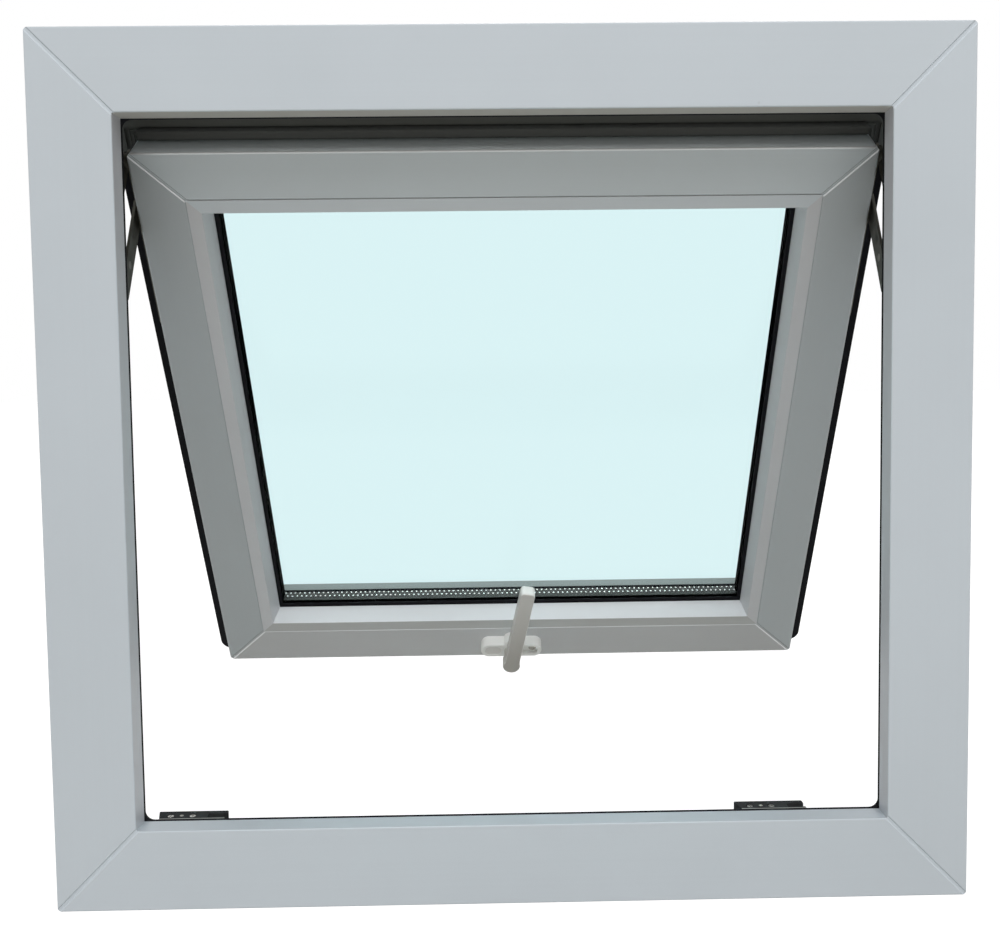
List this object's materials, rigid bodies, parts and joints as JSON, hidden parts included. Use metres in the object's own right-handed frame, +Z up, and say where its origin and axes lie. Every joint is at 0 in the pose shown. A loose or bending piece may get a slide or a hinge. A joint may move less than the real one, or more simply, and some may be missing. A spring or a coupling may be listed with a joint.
{
  "type": "top hung awning window",
  "caption": "White plastic awning window: mitred frame, double-glazed sash that tilts outward on friction stays, and a lever handle on its bottom rail.",
  "frame": {"origin": "middle of the frame's underside, on the face that stands on the wall opening", "axes": "+X to the right seen from the room, +Y from the room to the outside, +Z up"},
  "size_m": [0.7, 0.3934, 0.663],
  "materials": {
    "white_plastic": "smooth white profile with a faint satin gloss",
    "bead_plastic": "smooth white snap-in bead",
    "seal_rubber": "matt black seal",
    "clear_glass": "clear with a faint blue green tint",
    "spacer_metal": "mill finish with fine perforations",
    "stay_steel": "brushed stainless steel",
    "lock_steel": "dark zinc plated steel",
    "handle_paint": "white powder coat"
  },
  "bodies": {
    "frame": {"frame_sill": "white_plastic", "frame_head": "white_plastic", "frame_jamb_left": "white_plastic", "frame_jamb_right": "white_plastic", "frame_gasket": "seal_rubber", "keeper_left": "lock_steel", "keeper_right": "lock_steel", "stay_track_left": "stay_steel", "stay_track_right": "stay_steel"},
    "stay_arm_left": {"stay_arm_left": "stay_steel"},
    "sash": {"sash_bottom_rail": "white_plastic", "sash_top_rail": "white_plastic", "sash_stile_left": "white_plastic", "sash_stile_right": "white_plastic", "bead_bottom": "bead_plastic", "bead_top": "bead_plastic", "bead_left": "bead_plastic", "bead_right": "bead_plastic", "glazing_gasket_inner": "seal_rubber", "pane_inner": "clear_glass", "glass_spacer": "spacer_metal", "pane_outer": "clear_glass", "glazing_gasket_outer": "seal_rubber", "sash_gasket": "seal_rubber", "stay_sash_bar_left": "stay_steel", "stay_sash_bar_right": "stay_steel", "lock_faceplate": "lock_steel", "lock_cam_left": "lock_steel", "lock_cam_right": "lock_steel", "handle_base": "handle_paint"},
    "stay_link_left": {"stay_link_left": "stay_steel"},
    "stay_shoe_left": {"stay_shoe_left": "stay_steel"},
    "stay_link_right": {"stay_link_right": "stay_steel"},
    "stay_shoe_right": {"stay_shoe_right": "stay_steel"},
    "stay_arm_right": {"stay_arm_right": "stay_steel"},
    "handle": {"handle_lever": "handle_paint"}
  },
  "joints": [
    {"name": "stay_arm_left_swing", "type": "hinge", "parent": "frame", "child": "stay_arm_left", "pos_m": [-0.2962, 0.01281, 0.47421], "axis": [-1, 0, 0], "range_deg": [-32, 13]},
    {"name": "sash_swing", "type": "hinge", "parent": "stay_arm_left", "child": "sash", "pos_m": [-0.2962, 0.05255, 0.54311], "axis": [1, 0, 0], "range_deg": [-64, 26]},
    {"name": "stay_arm_right_swing", "type": "hinge", "parent": "frame", "child": "stay_arm_right", "pos_m": [0.2962, 0.01281, 0.47421], "axis": [-1, 0, 0], "range_deg": [-32, 13]},
    {"name": "stay_link_left_swing", "type": "hinge", "parent": "sash", "child": "stay_link_left", "pos_m": [-0.2988, 0.03257, 0.57776], "axis": [-1, 0, 0], "range_deg": [-64, 26]},
    {"name": "stay_shoe_left_turn", "type": "hinge", "parent": "stay_link_left", "child": "stay_shoe_left", "pos_m": [-0.2988, 0.01281, 0.54351], "axis": [1, 0, 0], "range_deg": [-32, 13]},
    {"name": "stay_link_right_swing", "type": "hinge", "parent": "sash", "child": "stay_link_right", "pos_m": [0.2988, 0.03257, 0.57776], "axis": [-1, 0, 0], "range_deg": [-64, 26]},
    {"name": "stay_shoe_right_turn", "type": "hinge", "parent": "stay_link_right", "child": "stay_shoe_right", "pos_m": [0.2988, 0.01281, 0.54351], "axis": [1, 0, 0], "range_deg": [-32, 13]},
    {"name": "handle_turn", "type": "hinge", "parent": "sash", "child": "handle", "pos_m": [0, 0.29366, 0.13178], "axis": [0, -0.848, -0.5299], "range_deg": [-80, 10]}
  ],
  "couplings": [
    {"joint": "stay_arm_left_swing", "follows": "sash_swing", "ratio": 0.5},
    {"joint": "stay_arm_right_swing", "follows": "sash_swing", "ratio": 0.5},
    {"joint": "stay_link_left_swing", "follows": "sash_swing", "ratio": 1},
    {"joint": "stay_shoe_left_turn", "follows": "sash_swing", "ratio": 0.5},
    {"joint": "stay_link_right_swing", "follows": "sash_swing", "ratio": 1},
    {"joint": "stay_shoe_right_turn", "follows": "sash_swing", "ratio": 0.5}
  ]
}
